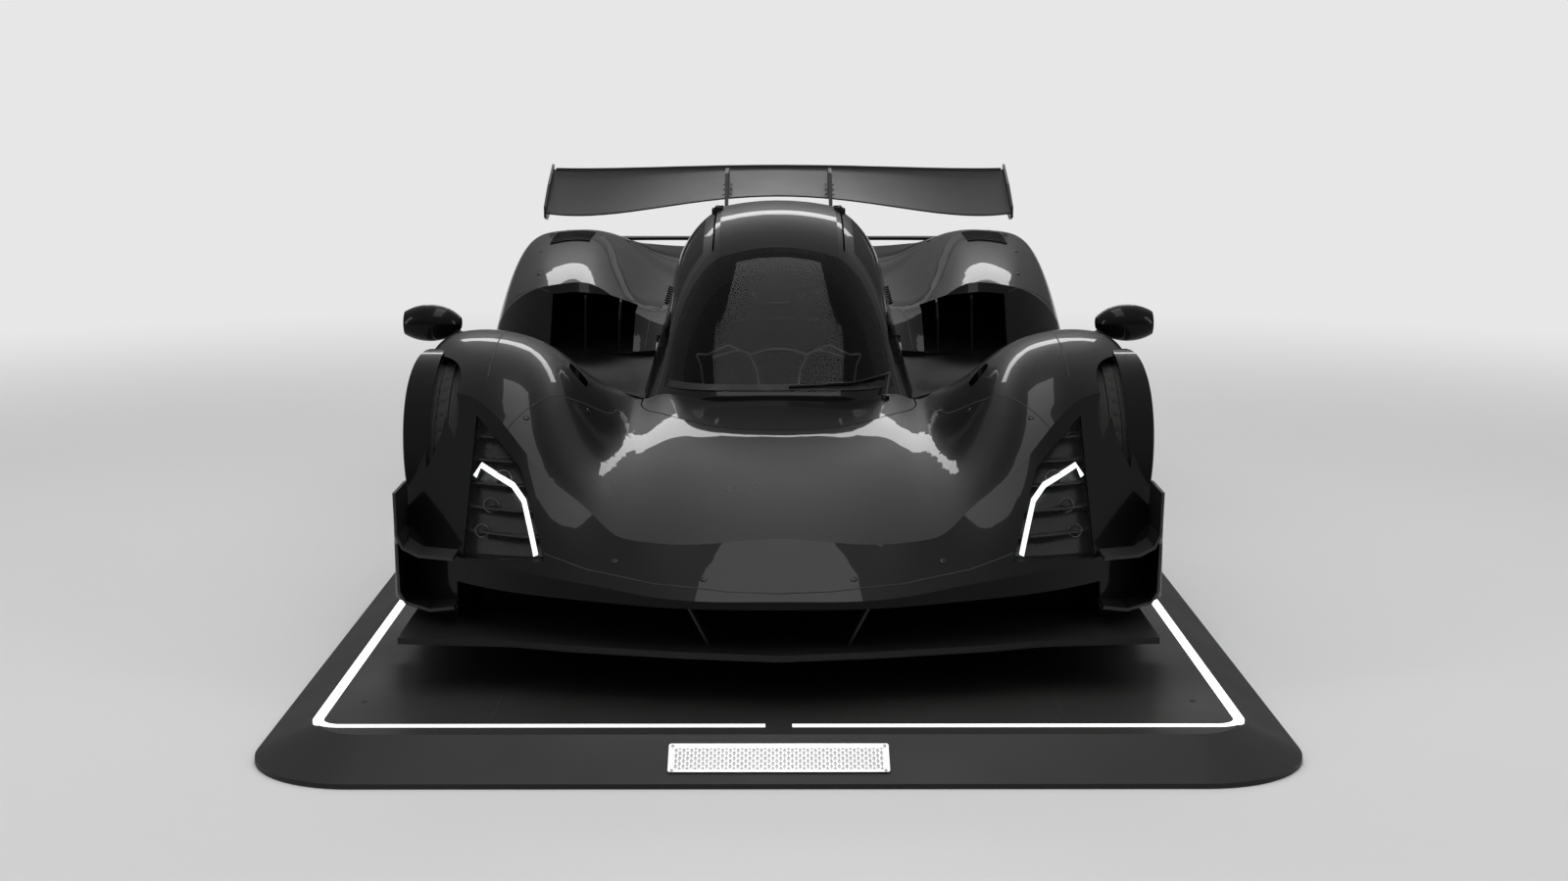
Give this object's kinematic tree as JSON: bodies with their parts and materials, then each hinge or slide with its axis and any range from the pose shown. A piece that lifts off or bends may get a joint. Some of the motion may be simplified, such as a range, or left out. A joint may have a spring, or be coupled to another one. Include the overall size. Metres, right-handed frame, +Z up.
{
  "type": "hypercar on display plinth",
  "caption": "Low black mid-engined hypercar with a narrow tandem canopy, high rear wing, opening doors, steered and turning wheels, parked on its own ramped plinth.",
  "frame": {"origin": "middle of the plinth's foot, on the floor", "axes": "+X to the car's left side, +Y to its tail, +Z up"},
  "size_m": [2.4, 5.42, 1.172],
  "materials": {
    "alloy": "bare machined alloy",
    "cabin": "black hide and suede",
    "clear_cover": "clear lamp cover",
    "exhaust": "heat tinted exhaust metal",
    "glass": "tinted laminated glass",
    "lamp": "black lamp inside",
    "light": "lit white strip",
    "paint": "deep gloss black lacquer over carbon panels",
    "plate_metal": "etched silver plate",
    "plinth_black": "satin black powder coat",
    "red_lamp": "red lamp lens",
    "rim": "dark satin forged alloy",
    "satin_black": "satin black carbon",
    "tyre": "road tyre rubber"
  },
  "bodies": {
    "car_and_plinth": {"canopy_frame": "paint", "cowl": "paint", "dash": "cabin", "diffuser": "satin_black", "dive_planes": "satin_black", "engine_block": "alloy", "exhaust_tips": "exhaust", "front_clam": "paint", "front_splitter": "satin_black", "front_suspension": "alloy", "headlamp_covers": "clear_cover", "headlamps": "lamp", "mirrors": "paint", "plinth": "plinth_black", "plinth_light_strip": "light", "plinth_plate": "plate_metal", "rear_clam": "paint", "rear_fascia": "satin_black", "rear_knuckles": "alloy", "rear_suspension": "alloy", "running_lights": "light", "seats": "cabin", "side_skirts": "satin_black", "tail_bar": "satin_black", "tail_lamp": "red_lamp", "tub": "satin_black", "undertray": "satin_black", "windscreen": "glass", "wing": "satin_black", "wing_pylons": "satin_black"},
    "door_left": {"door_left": "paint", "door_glass_left": "glass"},
    "door_right": {"door_right": "paint", "door_glass_right": "glass"},
    "knuckle_front_left": {"knuckle_front_left": "alloy"},
    "knuckle_front_right": {"knuckle_front_right": "alloy"},
    "wheel_front_left": {"tyre_front_left": "tyre", "wheel_front_left": "rim"},
    "wheel_front_right": {"tyre_front_right": "tyre", "wheel_front_right": "rim"},
    "wheel_rear_left": {"tyre_rear_left": "tyre", "wheel_rear_left": "rim"},
    "wheel_rear_right": {"tyre_rear_right": "tyre", "wheel_rear_right": "rim"},
    "steering_wheel": {"steering_wheel": "cabin"}
  },
  "joints": [
    {"name": "door_left", "type": "hinge", "parent": "car_and_plinth", "child": "door_left", "pos_m": [0.208, 0.1, 1.104], "axis": [0, 1, 0], "range_deg": [-68, 0]},
    {"name": "door_right", "type": "hinge", "parent": "car_and_plinth", "child": "door_right", "pos_m": [-0.208, 0.1, 1.104], "axis": [0, 1, 0], "range_deg": [0, 68]},
    {"name": "steer_left", "type": "hinge", "parent": "car_and_plinth", "child": "knuckle_front_left", "pos_m": [0.79, -1.335, 0.4268], "axis": [0, 0, 1], "range_deg": [-25, 25]},
    {"name": "steer_right", "type": "hinge", "parent": "car_and_plinth", "child": "knuckle_front_right", "pos_m": [-0.79, -1.335, 0.4268], "axis": [0, 0, 1], "range_deg": [-25, 25]},
    {"name": "spin_front_left", "type": "hinge", "parent": "knuckle_front_left", "child": "wheel_front_left", "pos_m": [0.845, -1.335, 0.4268], "axis": [1, 0, 0], "continuous": true},
    {"name": "spin_front_right", "type": "hinge", "parent": "knuckle_front_right", "child": "wheel_front_right", "pos_m": [-0.845, -1.335, 0.4268], "axis": [1, 0, 0], "continuous": true},
    {"name": "spin_rear_left", "type": "hinge", "parent": "car_and_plinth", "child": "wheel_rear_left", "pos_m": [0.842, 1.385, 0.4443], "axis": [1, 0, 0], "continuous": true},
    {"name": "spin_rear_right", "type": "hinge", "parent": "car_and_plinth", "child": "wheel_rear_right", "pos_m": [-0.842, 1.385, 0.4443], "axis": [1, 0, 0], "continuous": true},
    {"name": "steering_wheel", "type": "hinge", "parent": "car_and_plinth", "child": "steering_wheel", "pos_m": [0, -0.625, 0.555], "axis": [0, 0.9525, 0.3045], "range_deg": [-150, 150]}
  ],
  "couplings": [
    {"joint": "steer_right", "follows": "steer_left", "ratio": 1},
    {"joint": "steering_wheel", "follows": "steer_left", "ratio": 6}
  ]
}
